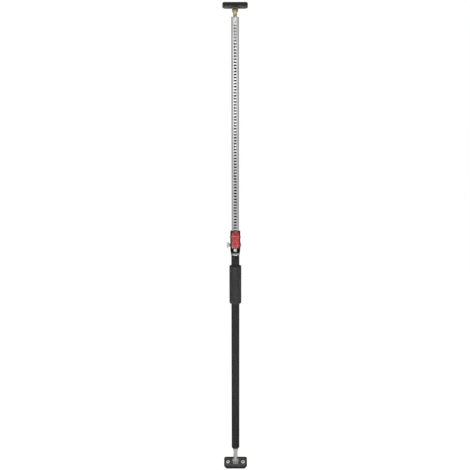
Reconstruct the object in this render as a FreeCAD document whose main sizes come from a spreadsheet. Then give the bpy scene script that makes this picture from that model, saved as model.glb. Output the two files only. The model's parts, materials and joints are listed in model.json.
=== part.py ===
import FreeCAD, Part
import math
import os
import Sketcher

# Telescopic prop, in millimetres: +Z up the tubes, front (lever side) at -Y, floor at Z 0.
# The inner tube slides in the outer tube, a pawl under the red lever catches its slots,
# a screw spindle lifts the head shoe, and both shoes tilt on forks.

doc = FreeCAD.newDocument("telescopic_prop")
sheet = doc.addObject("Spreadsheet::Sheet", "dims")

# Driving dimensions
DIMENSIONS = [
    # Outer tube and what is fixed on it
    ("tube_r", 15.5, "outer tube, outside radius"),
    ("tube_wall", 1.2, "wall of both tubes"),
    ("tube_bottom", 86.6, "lower end of the outer tube"),
    ("tube_top", 969.6, "upper end of the outer tube and latch bracket"),
    ("tube_end_bevel", 2.4, "bevel and height of the outer tube's rolled-in lower end"),
    ("window_half", 10.5, "half width of the front window for the pawl"),
    ("window_bottom", 890.6, "lower end of that window, which is open at the top"),
    ("ferrule_r", 17.0, "zinc ferrule, outside radius"),
    ("ferrule_bottom", 876.4, "lower face of the ferrule"),
    ("grip_r", 23.0, "foam grip, outside radius"),
    ("grip_bottom", 684.1, "lower end of the grip"),
    ("grip_top", 834.4, "upper end of the grip"),
    # Latch bracket
    ("bracket_bottom", 885.4, "lower end of the latch bracket"),
    ("bracket_plate", 3.5, "thickness of the bracket's cheeks"),
    ("cheek_front", 27.0, "how far the cheeks reach forward of the tube's axis"),
    ("cheek_foot", 17.0, "the same at their lower end"),
    ("cheek_taper", 902.4, "height where the cheeks begin to narrow downwards"),
    ("cheek_foot_half", 16.9, "half width over the cheeks at their lower end"),
    ("cheek_nose", 9.0, "rounding of the cheeks' upper front corners"),
    ("cheek_brow", 2.5, "bevel of the bracket's upper side edges"),
    # Release lever, pawl and their pin
    ("lever_pin_front", 22.0, "lever pin, forward of the tube's axis"),
    ("lever_pin_z", 950.0, "height of the lever pin"),
    ("lever_pin_r", 3.5, "lever pin radius"),
    ("lever_pin_proud", 1.7, "how far the lever pin stands out of each cheek"),
    ("lever_half", 14.5, "half width of the lever"),
    ("lever_flange", 2.0, "thickness of the lever's side flanges"),
    ("lever_wall", 3.0, "thickness of the lever's thumb pad"),
    ("lever_front", 31.0, "front face of the thumb pad, forward of the axis"),
    ("lever_bottom", 908.4, "lower end of the thumb pad"),
    ("lever_bend", 954.4, "height of the bend above the thumb pad"),
    ("lever_top", 967.9, "upper end of the lever"),
    ("lever_slope", 32.2, "lean of the part above the bend, in degrees"),
    ("lever_skirt", 4.5, "depth of the flanges along the thumb pad"),
    ("lever_skirt_top", 932.6, "height where the flanges begin to widen"),
    ("lever_lug", 6.0, "half size of the flanges round the pin"),
    ("lever_bend_round", 10.0, "rounding of the bend"),
    ("lever_edge_round", 1.4, "rounding of the lever's front edges"),
    ("pawl_half", 3.5, "half width of the pawl's tooth"),
    ("pawl_boss_r", 5.5, "radius of the pawl's boss"),
    ("pawl_boss_left", 12.3, "reach of the boss to the left flange"),
    ("pawl_boss_right", 5.5, "reach of the boss towards the spring"),
    ("pawl_reach", 14.3, "front distance of the tooth's tip from the axis"),
    ("pawl_tip_z", 962.0, "height of the tooth's middle"),
    ("pawl_tip_half", 1.5, "half height of the tooth"),
    ("pawl_root_front", 18.7, "front distance of the tooth's upper root"),
    ("pawl_back_front", 17.3, "front distance of the pawl's back"),
    ("pawl_heel", 5.0, "height of the pawl's back above the pin"),
    ("pawl_shoulder", 6.0, "height above the pin where the pawl meets the lever"),
    ("pawl_belly", 4.0, "front reach of the pawl at the pin"),
    ("spring_r", 4.45, "torsion spring, mean radius"),
    ("spring_wire", 0.6, "radius of the spring's wire"),
    ("spring_pitch", 1.25, "rise of one turn of the spring"),
    ("spring_turns", 3.519, "turns of the spring"),
    ("spring_start", 11.3, "side distance where the spring begins"),
    ("spring_lean", 2.1, "lean of the leg on the thumb pad, in degrees"),
    ("spring_pad_leg", 25.0, "length of the leg on the thumb pad"),
    ("spring_bolt_leg", 33.0, "length of the leg on the clamp bolt"),
    # Clamp bolt, washer and wing nut
    ("clamp_front", 18.8, "clamp bolt, forward of the tube's axis"),
    ("clamp_z", 918.0, "height of the clamp bolt"),
    ("clamp_r", 3.0, "clamp bolt radius"),
    ("clamp_head_r", 9.0, "radius of its domed head"),
    ("clamp_head", 3.8, "height of its domed head"),
    ("clamp_crown_r", 6.3, "radius of the head's crown"),
    ("clamp_neck_half", 3.1, "half width of its square neck"),
    ("clamp_end", 31.0, "side distance of its threaded end"),
    ("washer_r", 6.5, "washer, outside radius"),
    ("washer_thick", 1.6, "washer thickness"),
    ("wing_hub_r", 5.6, "wing nut hub, radius"),
    ("wing_hub", 7.6, "wing nut hub height"),
    ("wing_thick", 3.2, "thickness of the wings"),
    ("wing_root_x", 3.4, "wing root, distance from the washer"),
    ("wing_root_z", 3.6, "wing root, distance from the bolt's axis"),
    ("wing_root_r", 2.8, "rounding of the wing's root"),
    ("wing_tip_x", 8.4, "wing tip, distance from the washer"),
    ("wing_tip_z", 7.4, "wing tip, distance from the bolt's axis"),
    ("wing_tip_r", 4.1, "rounding of the wing's tip"),
    # Inner tube with nut and spindle
    ("inner_r", 14.0, "inner tube, outside radius"),
    ("inner_bottom", 751.0, "lower end of the inner tube"),
    ("inner_top", 1758.2, "upper end of the inner tube"),
    ("slot_first", 1753.0, "height of the first slot"),
    ("slot_pitch", 11.0, "distance between slots"),
    ("slot_count", 78, "number of slots"),
    ("slot_half", 5.5, "half width of a slot"),
    ("slot_r", 3.0, "half height of a slot"),
    ("nut_flange", 2.5, "flange of the spindle nut on the tube's end"),
    ("nut_length", 25.5, "reach of the spindle nut into the tube"),
    ("spindle_r", 7.0, "spindle radius"),
    ("spindle_bottom", 1684.0, "lower end of the spindle's thread"),
    ("journal_r", 4.4, "journal under the thread"),
    ("journal_head_r", 6.0, "head that keeps the guide disc on the journal"),
    ("journal_head", 2.4, "height of that head"),
    ("guide_r", 12.6, "guide disc, outside radius"),
    ("guide_thick", 8.0, "guide disc thickness"),
    ("running_gap", 0.06, "gap of a shaft in its bore"),
    # Foot stud
    ("rod_r", 8.0, "radius of the rod"),
    ("stud_plug", 26.0, "length of the stud's plug in the tube"),
    ("stud_cone_r", 12.0, "radius of the cone at the tube's end"),
    ("stud_cone_bottom", 71.0, "lower end of the cone"),
    # Head and foot shoes, measured from their pivot along the shoe
    ("head_pivot_z", 1784.7, "height of the head pivot"),
    ("head_tilt", -10.0, "tilt of the head shoe about X, in degrees"),
    ("foot_pivot_z", 31.7, "height of the foot pivot"),
    ("foot_tilt", 210.0, "turn of the foot shoe about X, in degrees"),
    ("fork_gap", 8.3, "half the gap between a fork's ears"),
    ("fork_plate", 2.4, "thickness of the forks"),
    ("fork_half", 10.0, "half depth of a fork's web"),
    ("fork_web", 8.5, "distance from the pivot to the web"),
    ("ear_r", 7.8, "rounding of the ears about the pivot"),
    ("pivot_r", 4.0, "pivot pin radius"),
    ("pivot_proud", 0.6, "how far a pivot pin stands out of its fork"),
    ("plate_half_x", 42.0, "half width of a shoe's plate"),
    ("plate_half_y", 21.0, "half depth of a shoe's plate"),
    ("plate_thick", 3.0, "thickness of a shoe's plate"),
    ("plate_back", 3.5, "cut of the plate's corners on one side"),
    ("plate_cut_x", 7.0, "cut of its corners on the other side, along X"),
    ("plate_cut_y", 9.5, "the same along Y"),
    ("pad_half_x", 46.0, "half width of a rubber pad"),
    ("pad_half_y", 25.0, "half depth of a rubber pad"),
    ("pad_thick", 13.6, "thickness of a rubber pad"),
    ("pad_back", 5.0, "cut of the pad's corners on one side"),
    ("pad_cut_x", 9.0, "cut of its corners on the other side, along X"),
    ("pad_cut_y", 12.0, "the same along Y"),
    ("pad_bevel", 4.0, "bevel round a pad's contact face"),
    ("groove_half", 1.5, "half width of the grooves in a contact face"),
    ("groove_deep", 1.8, "depth of those grooves"),
    ("groove_pitch", 21.0, "distance between the two grooves"),
    ("screw_x", 30.0, "side distance of the screw holes"),
    ("screw_r", 3.5, "radius of the screw holes"),
    # Cuts
    ("over", 1.0, "how far a cut runs past the face that it opens"),
]
for row, (alias, value, note) in enumerate(DIMENSIONS, start=1):
    sheet.set(f"A{row}", note)
    sheet.set(f"B{row}", str(value))
    sheet.setAlias(f"B{row}", alias)
doc.recompute()

WHOLE_CUT = 200.0
TINY = 0.01
COIL_FACETS = 12
WIRE_FACETS = 4
FRONT = FreeCAD.Vector(0, -1, 0)
UP = FreeCAD.Vector(0, 0, 1)
LEFT = FreeCAD.Vector(-1, 0, 0)
parts = []


# Sheet values and sketches
ALIASES = {alias for alias, value, note in DIMENSIONS}


def bound(expression):
    """An expression on the sheet, with every dimension's name spelt out in full."""
    words = []
    word = ""
    for letter in expression + " ":
        if letter.isalnum() or letter == "_":
            word += letter
            continue
        words.append("dims." + word if word in ALIASES else word)
        words.append(letter)
        word = ""
    return "".join(words).strip()


def number(expression):
    """Present value of an expression on the sheet."""
    value = sheet.evalExpression(bound(expression))
    return float(getattr(value, "Value", value))


def new_body(label):
    body = doc.addObject("PartDesign::Body", label)
    body.Label = label
    parts.append(body)
    return body


def origin_feature(body, role):
    return next(f for f in body.Origin.OriginFeatures if f.Role == role)


def new_sketch(body, role, lift="0"):
    """A sketch on one of the body's own planes, lifted along that plane's normal."""
    sketch = body.newObject("Sketcher::SketchObject", body.Label + "_sketch")
    sketch.AttachmentSupport = [(origin_feature(body, role), "")]
    sketch.MapMode = "FlatFace"
    sketch.setExpression("AttachmentOffset.Base.z", bound(lift))
    return sketch


def fix_point(sketch, geometry, vertex, place):
    for kind, expression in zip(("DistanceX", "DistanceY"), place):
        rule = Sketcher.Constraint(kind, -1, 1, geometry, vertex, number(expression))
        index = sketch.addConstraint(rule)
        sketch.setExpression(f"Constraints[{index}]", bound(expression))


def fix_radius(sketch, geometry, radius):
    index = sketch.addConstraint(Sketcher.Constraint("Radius", geometry, number(radius)))
    sketch.setExpression(f"Constraints[{index}]", bound(radius))


def circle(sketch, place, radius):
    middle = FreeCAD.Vector(number(place[0]), number(place[1]), 0)
    geometry = sketch.addGeometry(Part.Circle(middle, UP, number(radius)), False)
    fix_point(sketch, geometry, 3, place)
    fix_radius(sketch, geometry, radius)


def arc_between(start, finish, radius, turn):
    """Short arc from start to finish, turning left (+1) or right (-1)."""
    chord = finish - start
    half = chord.Length / 2
    sideways = FreeCAD.Vector(-chord.y, chord.x, 0).normalize() * turn
    middle = (start + finish) / 2 + sideways * math.sqrt(max(radius**2 - half**2, 0))
    first, last = (start, finish) if turn > 0 else (finish, start)
    begin = math.atan2(first.y - middle.y, first.x - middle.x)
    end = math.atan2(last.y - middle.y, last.x - middle.x)
    return Part.ArcOfCircle(Part.Circle(middle, UP, radius), begin, end)


def outline(sketch, corners, arcs=None):
    """Closed outline through corners; arcs gives (radius, turn) for a side that is round."""
    arcs = arcs or {}
    points = [FreeCAD.Vector(number(x), number(y), 0) for x, y in corners]
    sides = []
    for side, start in enumerate(points):
        finish = points[(side + 1) % len(points)]
        if side in arcs:
            radius, turn = arcs[side]
            edge = arc_between(start, finish, number(radius), turn)
            ends = (1, 2) if turn > 0 else (2, 1)
        else:
            edge = Part.LineSegment(start, finish)
            ends = (1, 2)
        sides.append((sketch.addGeometry(edge, False), ends))
    for side, (geometry, ends) in enumerate(sides):
        after, after_ends = sides[(side + 1) % len(sides)]
        rule = Sketcher.Constraint("Coincident", geometry, ends[1], after, after_ends[0])
        sketch.addConstraint(rule)
        fix_point(sketch, geometry, ends[0], corners[side])
        if side in arcs:
            fix_radius(sketch, geometry, arcs[side][0])


def rectangle(sketch, left, right, low, high):
    outline(sketch, [(left, low), (right, low), (right, high), (left, high)])


def shoe_outline(sketch, piece):
    """Outline of a shoe's plate or pad, with small corner cuts at -Y and large ones at +Y."""
    half_x, half_y = piece + "_half_x", piece + "_half_y"
    back, cut_x, cut_y = piece + "_back", piece + "_cut_x", piece + "_cut_y"
    right = [
        (f"{half_x} - {back}", f"-{half_y}"), (half_x, f"-({half_y} - {back})"),
        (half_x, f"{half_y} - {cut_y}"), (f"{half_x} - {cut_x}", half_y),
    ]
    left = [(f"-({x})", y) for x, y in reversed(right)]
    outline(sketch, right + left)


# Features
def add_pad(body, sketch, length, sides="One side", other_length=None):
    feature = body.newObject("PartDesign::Pad", sketch.Name + "_pad")
    feature.Profile = sketch
    feature.SideType = sides
    feature.setExpression("Length", bound(length))
    if other_length:
        feature.setExpression("Length2", bound(other_length))
    doc.recompute()
    return feature


def add_pocket(body, sketch, sides="One side", backwards=False, depth=None):
    """A cut through everything, or to a depth, that has to take material away."""
    before = body.Shape.Volume
    feature = body.newObject("PartDesign::Pocket", sketch.Name + "_pocket")
    feature.Profile = sketch
    feature.SideType = sides
    feature.Reversed = backwards
    if depth:
        feature.setExpression("Length", bound(depth))
    else:
        feature.Length = WHOLE_CUT
    doc.recompute()
    if body.Shape.Volume > before - TINY:
        raise RuntimeError(f"{feature.Label} cuts nothing")
    return feature


def add_revolution(body, sketch, axis):
    feature = body.newObject("PartDesign::Revolution", sketch.Name + "_turned")
    feature.Profile = sketch
    feature.ReferenceAxis = (sketch, [axis])
    feature.Angle = 360
    doc.recompute()
    return feature


def turned(label, profile, arcs=None):
    """A body turned about Z from a profile of (radius, height) corners."""
    body = new_body(label)
    sketch = new_sketch(body, "XZ_Plane")
    outline(sketch, profile, arcs)
    add_revolution(body, sketch, "V_Axis")
    return body


def turned_across(label, profile, arcs=None):
    """A body turned about X from a profile of (side distance, radius) corners."""
    body = new_body(label)
    sketch = new_sketch(body, "XY_Plane")
    outline(sketch, profile, arcs)
    add_revolution(body, sketch, "H_Axis")
    return body


def add_pattern(body, feature, axis, length, count, backwards=False):
    pattern = body.newObject("PartDesign::LinearPattern", feature.Name + "_row")
    pattern.Originals = [feature]
    pattern.Direction = (origin_feature(body, axis), [""])
    pattern.Reversed = backwards
    pattern.setExpression("Length", bound(length))
    pattern.setExpression("Occurrences", bound(count))
    body.Tip = pattern
    doc.recompute()
    return pattern


def edges_where(shape, test):
    return [f"Edge{i}" for i, edge in enumerate(shape.Edges, start=1) if test(edge)]


def add_edge_feature(body, kind, size_name, size, test):
    """A fillet or chamfer on the edges of the body that pass the test."""
    base = body.Tip
    names = edges_where(base.Shape, test)
    if not names:
        raise RuntimeError(f"no edge of {body.Label} to round")
    feature = body.newObject(kind, base.Name + "_edges")
    feature.Base = (base, names)
    feature.setExpression(size_name, bound(size))
    doc.recompute()
    return feature


def add_fillet(body, radius, test):
    return add_edge_feature(body, "PartDesign::Fillet", "Radius", radius, test)


def add_chamfer(body, size, test):
    return add_edge_feature(body, "PartDesign::Chamfer", "Size", size, test)


def near(value, expression):
    return abs(value - number(expression)) < TINY


def flat_at(edge, axis, expression):
    """True for an edge that lies in one plane across the axis, at that coordinate."""
    box = edge.BoundBox
    low = getattr(box, axis + "Min")
    high = getattr(box, axis + "Max")
    return near(low, expression) and near(high, expression)


def seat(body, x="0", y="0", z="0"):
    """Moves a body that is drawn round its own origin to its place on the prop."""
    for axis, expression in zip("xyz", (x, y, z)):
        body.setExpression(f".Placement.Base.{axis}", bound(expression))


# Outer tube: its lower end is rolled in under the stud, and a front window at the top
# lets the pawl through and the clamp squeeze the tube
def make_outer_tube():
    bore = "tube_r - tube_wall"
    lip = "tube_bottom + tube_end_bevel"
    body = turned("outer_tube", [
        ("stud_cone_r", "tube_bottom"), ("tube_r - tube_end_bevel", "tube_bottom"), ("tube_r", lip),
        ("tube_r", "tube_top"), (bore, "tube_top"), (bore, lip), ("stud_cone_r", lip),
    ])
    window = new_sketch(body, "XZ_Plane")
    rectangle(window, "-window_half", "window_half", "window_bottom", "tube_top + over")
    add_pocket(body, window, backwards=True)


# Latch bracket: a bent plate round the back of the tube with two cheeks forward
def make_latch_bracket():
    body = new_body("latch_bracket")
    wrap = new_sketch(body, "XY_Plane", "bracket_bottom")
    outer = "tube_r + bracket_plate"
    outline(wrap, [
        (outer, "-cheek_front"), (outer, "0"), ("0", outer), (f"-({outer})", "0"),
        (f"-({outer})", "-cheek_front"), ("-tube_r", "-cheek_front"), ("-tube_r", "0"),
        ("0", "tube_r"), ("tube_r", "0"), ("tube_r", "-cheek_front"),
    ], {1: (outer, 1), 2: (outer, 1), 6: ("tube_r", -1), 7: ("tube_r", -1)})
    add_pad(body, wrap, "tube_top - bracket_bottom")
    foot = new_sketch(body, "YZ_Plane")
    outline(foot, [
        ("-cheek_front", "cheek_taper"), ("-cheek_front - over", "bracket_bottom - over"),
        ("-cheek_foot", "bracket_bottom - over"), ("-cheek_foot", "bracket_bottom"),
    ])
    add_pocket(body, foot, sides="Symmetric")
    for side in ("", "-"):
        flank = new_sketch(body, "XZ_Plane")
        outline(flank, [
            (f"{side}({outer})", "cheek_taper"), (f"{side}cheek_foot_half", "bracket_bottom"),
            (f"{side}cheek_foot_half", "bracket_bottom - over"),
            (f"{side}({outer} + over)", "bracket_bottom - over"), (f"{side}({outer} + over)", "cheek_taper"),
        ])
        add_pocket(body, flank, sides="Symmetric")
    pin = new_sketch(body, "YZ_Plane")
    circle(pin, ("-lever_pin_front", "lever_pin_z"), "lever_pin_r")
    add_pocket(body, pin, sides="Symmetric")
    bolt = new_sketch(body, "YZ_Plane")
    circle(bolt, ("-clamp_front", "clamp_z"), "clamp_r")
    add_pocket(body, bolt)
    neck = new_sketch(body, "YZ_Plane")
    rectangle(neck, "-clamp_front - clamp_neck_half", "-clamp_front + clamp_neck_half",
              "clamp_z - clamp_neck_half", "clamp_z + clamp_neck_half")
    add_pocket(body, neck, backwards=True)
    add_fillet(body, "cheek_nose",
               lambda edge: flat_at(edge, "Z", "tube_top") and flat_at(edge, "Y", "-cheek_front"))
    for side in ("", "-"):
        brow = new_sketch(body, "XZ_Plane")
        outline(brow, [
            (f"{side}({outer})", "tube_top - cheek_brow"),
            (f"{side}({outer} + over)", "tube_top - cheek_brow"),
            (f"{side}({outer} + over)", "tube_top + over"),
            (f"{side}({outer} - cheek_brow)", "tube_top + over"),
            (f"{side}({outer} - cheek_brow)", "tube_top"),
        ])
        add_pocket(body, brow, sides="Symmetric")


def sleeve(label, bore, outside, low, high):
    return turned(label, [(bore, low), (outside, low), (outside, high), (bore, high)])


def add_round_end(body, pivot, radius, way):
    """Mills a rod's upper (+1) or lower (-1) end round about its pivot and drills it for the pin."""
    sign = "+" if way > 0 else "-"
    end = f"{pivot} {sign} {radius}"
    past = f"{pivot} {sign} ({radius} + over)"
    for side in (1, -1):
        minus = "" if side > 0 else "-"
        waste = new_sketch(body, "YZ_Plane")
        outline(waste, [
            (f"{minus}{radius}", pivot), (f"{minus}({radius} + over)", pivot),
            (f"{minus}({radius} + over)", past), ("0", past), ("0", end),
        ], {4: (radius, -side * way)})
        add_pocket(body, waste, sides="Symmetric")
    hole = new_sketch(body, "YZ_Plane")
    circle(hole, ("0", pivot), "pivot_r + running_gap")
    add_pocket(body, hole, sides="Symmetric")


# Foot stud: plug in the tube, cone, and a rod with a round drilled end
def make_foot_stud():
    bore = "tube_r - tube_wall"
    lip = "tube_bottom + tube_end_bevel"
    end = "foot_pivot_z - rod_r"
    body = turned("foot_stud", [
        ("0", end), ("rod_r", end), ("rod_r", "stud_cone_bottom"), ("stud_cone_r", "tube_bottom"),
        ("stud_cone_r", lip), (bore, lip),
        (bore, "tube_bottom + stud_plug"), ("0", "tube_bottom + stud_plug"),
    ])
    add_round_end(body, "foot_pivot_z", "rod_r", -1)


# Release lever: a pressed channel with a thumb pad, a bend and two drilled flanges
def lever_slope_front(height, depth):
    """Front distance on the sloping part, so deep under its outer face, as an expression."""
    rise = f"({height} - lever_bend) * tan(lever_slope * 1 deg)"
    return f"-lever_front + {rise} + {depth} / cos(lever_slope * 1 deg)"


def make_release_lever():
    body = new_body("release_lever")
    side = new_sketch(body, "YZ_Plane")
    lug_back = "-lever_pin_front + lever_lug"
    outline(side, [
        ("-lever_front", "lever_bottom"), ("-lever_front + lever_skirt", "lever_bottom"),
        ("-lever_front + lever_skirt", "lever_skirt_top"), (lug_back, "lever_pin_z - lever_lug"),
        (lug_back, "lever_pin_z + lever_lug"),
        (lever_slope_front("lever_top", "lever_wall"), "lever_top"),
        (lever_slope_front("lever_top", "0"), "lever_top"), ("-lever_front", "lever_bend"),
    ])
    add_pad(body, side, "2 * lever_half", sides="Symmetric")
    add_fillet(body, "lever_bend_round",
               lambda edge: flat_at(edge, "Z", "lever_bend") and flat_at(edge, "Y", "-lever_front"))
    add_fillet(body, "lever_edge_round",
               lambda edge: flat_at(edge, "Y", "-lever_front") and edge.BoundBox.XLength < TINY)
    hollow = new_sketch(body, "YZ_Plane")
    bend_inside = "lever_bend + lever_wall * (1 - 1 / cos(lever_slope * 1 deg)) / tan(lever_slope * 1 deg)"
    outline(hollow, [
        ("-lever_front + lever_wall", "lever_bottom - over"), ("0", "lever_bottom - over"),
        ("0", "lever_top + over"), (lever_slope_front("lever_top + over", "lever_wall"), "lever_top + over"),
        ("-lever_front + lever_wall", bend_inside),
    ])
    add_pocket(body, hollow, sides="Symmetric", depth="2 * (lever_half - lever_flange)")
    pin = new_sketch(body, "YZ_Plane")
    circle(pin, ("-lever_pin_front", "lever_pin_z"), "lever_pin_r + running_gap")
    add_pocket(body, pin, sides="Symmetric")


# Pawl: a hardened tooth under the lever's slope, on a boss round the same pin
def make_pawl():
    body = new_body("pawl")
    arm = new_sketch(body, "YZ_Plane")
    tip_top = "pawl_tip_z + pawl_tip_half"
    tip_low = "pawl_tip_z - pawl_tip_half"
    outline(arm, [
        ("-lever_pin_front + pawl_boss_r", "lever_pin_z"), ("-pawl_back_front", "lever_pin_z + pawl_heel"),
        ("-pawl_back_front", tip_low), ("-pawl_reach", tip_low),
        ("-pawl_reach", tip_top), ("-pawl_root_front", tip_top),
        (lever_slope_front("pawl_tip_z", "lever_wall"), "pawl_tip_z"),
        (lever_slope_front("(lever_pin_z + pawl_shoulder)", "lever_wall"), "lever_pin_z + pawl_shoulder"),
        ("-lever_pin_front - pawl_belly", "lever_pin_z"),
    ])
    add_pad(body, arm, "2 * pawl_half", sides="Symmetric")
    boss = new_sketch(body, "YZ_Plane")
    circle(boss, ("-lever_pin_front", "lever_pin_z"), "pawl_boss_r")
    add_pad(body, boss, "pawl_boss_right", sides="Two sides", other_length="pawl_boss_left")
    bore = new_sketch(body, "YZ_Plane")
    circle(bore, ("-lever_pin_front", "lever_pin_z"), "lever_pin_r + running_gap")
    add_pocket(body, bore, sides="Symmetric")


def plain_pin(label, half, radius):
    """A plain pin along X, from one side to the other."""
    body = new_body(label)
    sketch = new_sketch(body, "YZ_Plane")
    circle(sketch, ("0", "0"), radius)
    add_pad(body, sketch, f"2 * ({half})", sides="Symmetric")
    return body


def make_lever_pin():
    body = plain_pin("lever_pivot_pin", "tube_r + bracket_plate + lever_pin_proud", "lever_pin_r")
    seat(body, y="-lever_pin_front", z="lever_pin_z")


# Torsion spring: coil round the pin, one leg on the thumb pad, one on the clamp bolt
def make_lever_spring():
    radius = number("spring_r")
    pitch = number("spring_pitch")
    turns = number("spring_turns")
    facets = round(turns * COIL_FACETS)
    angles = [2 * math.pi * turns * k / facets for k in range(facets + 1)]
    points = []
    for angle in angles:
        rise = pitch * angle / (2 * math.pi)
        points.append(FreeCAD.Vector(radius * math.cos(angle), radius * math.sin(angle), rise))
    start_way = FreeCAD.Vector(0, 1, 0)
    finish_way = FreeCAD.Vector(-math.sin(angles[-1]), math.cos(angles[-1]), 0)
    foot = points[0] - start_way * number("spring_pad_leg")
    path = Part.makePolygon([foot] + points + [points[-1] + finish_way * number("spring_bolt_leg")])
    wire = number("spring_wire")
    corners = []
    for k in range(WIRE_FACETS):
        angle = 2 * math.pi * (k + 0.5) / WIRE_FACETS
        corners.append(foot + FreeCAD.Vector(wire * math.cos(angle), 0, wire * math.sin(angle)))
    section = Part.makePolygon(corners + corners[:1])
    spring = doc.addObject("Part::Feature", "lever_spring")
    spring.Label = "lever_spring"
    spring.Shape = path.makePipeShell([section], True, False, 1)
    pin = FreeCAD.Vector(number("spring_start"), -number("lever_pin_front"), number("lever_pin_z"))
    lean = math.radians(number("spring_lean"))
    front = FRONT * math.cos(lean) + UP * math.sin(lean)
    up = UP * math.cos(lean) - FRONT * math.sin(lean)
    spring.Placement = FreeCAD.Placement(pin, FreeCAD.Rotation(front, up, LEFT, "XYZ"))
    parts.append(spring)


# Clamp: carriage bolt across the cheeks, washer and wing nut on the left
def make_clamp_bolt():
    cheek = "tube_r + bracket_plate"
    body = turned_across("clamp_bolt", [
        ("-clamp_end", "0"), (f"{cheek} + clamp_head", "0"), (f"{cheek} + clamp_head", "clamp_crown_r"),
        (cheek, "clamp_head_r"), (cheek, "clamp_r"), ("-clamp_end", "clamp_r"),
    ])
    neck = new_sketch(body, "YZ_Plane", "tube_r")
    rectangle(neck, "-clamp_neck_half", "clamp_neck_half", "-clamp_neck_half", "clamp_neck_half")
    add_pad(body, neck, "bracket_plate")
    seat(body, y="-clamp_front", z="clamp_z")


def make_washer():
    cheek = "tube_r + bracket_plate"
    body = turned_across("clamp_washer", [
        (f"-({cheek})", "clamp_r + running_gap"), (f"-({cheek})", "washer_r"),
        (f"-({cheek} + washer_thick)", "washer_r"), (f"-({cheek} + washer_thick)", "clamp_r + running_gap"),
    ])
    seat(body, y="-clamp_front", z="clamp_z")


def make_wing_nut():
    base = "tube_r + bracket_plate + washer_thick"
    body = turned_across("wing_nut", [
        (f"-({base})", "clamp_r + running_gap"), (f"-({base})", "wing_hub_r"),
        (f"-({base} + wing_hub)", "wing_hub_r"), (f"-({base} + wing_hub)", "clamp_r + running_gap"),
    ])
    root = FreeCAD.Vector(-number(f"{base} + wing_root_x"), number("wing_root_z"), 0)
    tip = FreeCAD.Vector(-number(f"{base} + wing_tip_x"), number("wing_tip_z"), 0)
    along = tip - root
    reach = math.atan2(along.y, along.x)
    swing = math.acos((number("wing_root_r") - number("wing_tip_r")) / along.Length)
    for side in ("", "-"):
        wing = new_sketch(body, "XZ_Plane")
        corners = []
        for spot, angle in (("root", reach + swing), ("root", reach - swing),
                            ("tip", reach - swing), ("tip", reach), ("tip", reach + swing)):
            across = f"-({base} + wing_{spot}_x) + wing_{spot}_r * {math.cos(angle):.6f}"
            upward = f"{side}(wing_{spot}_z + wing_{spot}_r * {math.sin(angle):.6f})"
            corners.append((across, upward))
        turn = 1 if side == "" else -1
        outline(wing, corners, {0: ("wing_root_r", turn), 2: ("wing_tip_r", turn), 3: ("wing_tip_r", turn)})
        add_pad(body, wing, "wing_thick", sides="Symmetric")
    bore = new_sketch(body, "YZ_Plane")
    circle(bore, ("0", "0"), "clamp_r + running_gap")
    add_pocket(body, bore, sides="Symmetric")
    seat(body, y="-clamp_front", z="clamp_z")


# Inner tube: one row of slots down the front
def make_inner_tube():
    body = new_body("inner_tube")
    ring = new_sketch(body, "XY_Plane", "inner_bottom")
    circle(ring, ("0", "0"), "inner_r")
    circle(ring, ("0", "0"), "inner_r - tube_wall")
    add_pad(body, ring, "inner_top - inner_bottom")
    slot = new_sketch(body, "XZ_Plane")
    rectangle(slot, "-slot_half", "slot_half", "slot_first - slot_r", "slot_first + slot_r")
    cut = add_pocket(body, slot, backwards=True)
    add_pattern(body, cut, "Z_Axis", "slot_pitch * (slot_count - 1)", "slot_count", backwards=True)


def make_spindle_nut():
    bore = "spindle_r + running_gap"
    turned("spindle_nut", [
        (bore, "inner_top - nut_length"), ("inner_r - tube_wall", "inner_top - nut_length"),
        ("inner_r - tube_wall", "inner_top"), ("inner_r", "inner_top"),
        ("inner_r", "inner_top + nut_flange"), (bore, "inner_top + nut_flange"),
    ])


# Spindle: screw with a round drilled end above and a journal for the guide disc below
def make_spindle():
    head_top = "spindle_bottom - guide_thick - running_gap"
    head_low = f"{head_top} - journal_head"
    body = turned("spindle", [
        ("0", head_low), ("journal_head_r", head_low), ("journal_head_r", head_top), ("journal_r", head_top),
        ("journal_r", "spindle_bottom"), ("spindle_r", "spindle_bottom"),
        ("spindle_r", "head_pivot_z + spindle_r"), ("0", "head_pivot_z + spindle_r"),
    ])
    add_round_end(body, "head_pivot_z", "spindle_r", 1)


# Shoes: fork welded to a plate, rubber pad and pivot pin, drawn round their pivot
def make_fork(label):
    body = new_body(label)
    outside = "fork_gap + fork_plate"
    top = "fork_web + fork_plate"
    channel = new_sketch(body, "XZ_Plane")
    outline(channel, [
        (f"-({outside})", "-ear_r"), ("-fork_gap", "-ear_r"), ("-fork_gap", "fork_web"),
        ("fork_gap", "fork_web"), ("fork_gap", "-ear_r"), (outside, "-ear_r"), (outside, top),
        (f"-({outside})", top),
    ])
    add_pad(body, channel, "2 * fork_half", sides="Symmetric")
    for side in ("", "-"):
        cheek = new_sketch(body, "YZ_Plane")
        turn = 1 if side == "" else -1
        outline(cheek, [
            (f"{side}ear_r", "0"), (f"{side}fork_half", "fork_web"),
            (f"{side}(fork_half + over)", "fork_web"), (f"{side}(fork_half + over)", "-ear_r - over"),
            ("0", "-ear_r - over"), ("0", "-ear_r"),
        ], {5: ("ear_r", turn)})
        add_pocket(body, cheek, sides="Symmetric")
    pin = new_sketch(body, "YZ_Plane")
    circle(pin, ("0", "0"), "pivot_r")
    add_pocket(body, pin, sides="Symmetric")
    return body


def add_screw_holes(sketch):
    circle(sketch, ("screw_x", "0"), "screw_r")
    circle(sketch, ("-screw_x", "0"), "screw_r")


def make_plate(label):
    body = new_body(label)
    blank = new_sketch(body, "XY_Plane", "fork_web + fork_plate")
    shoe_outline(blank, "plate")
    add_screw_holes(blank)
    add_pad(body, blank, "plate_thick")
    return body


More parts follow.
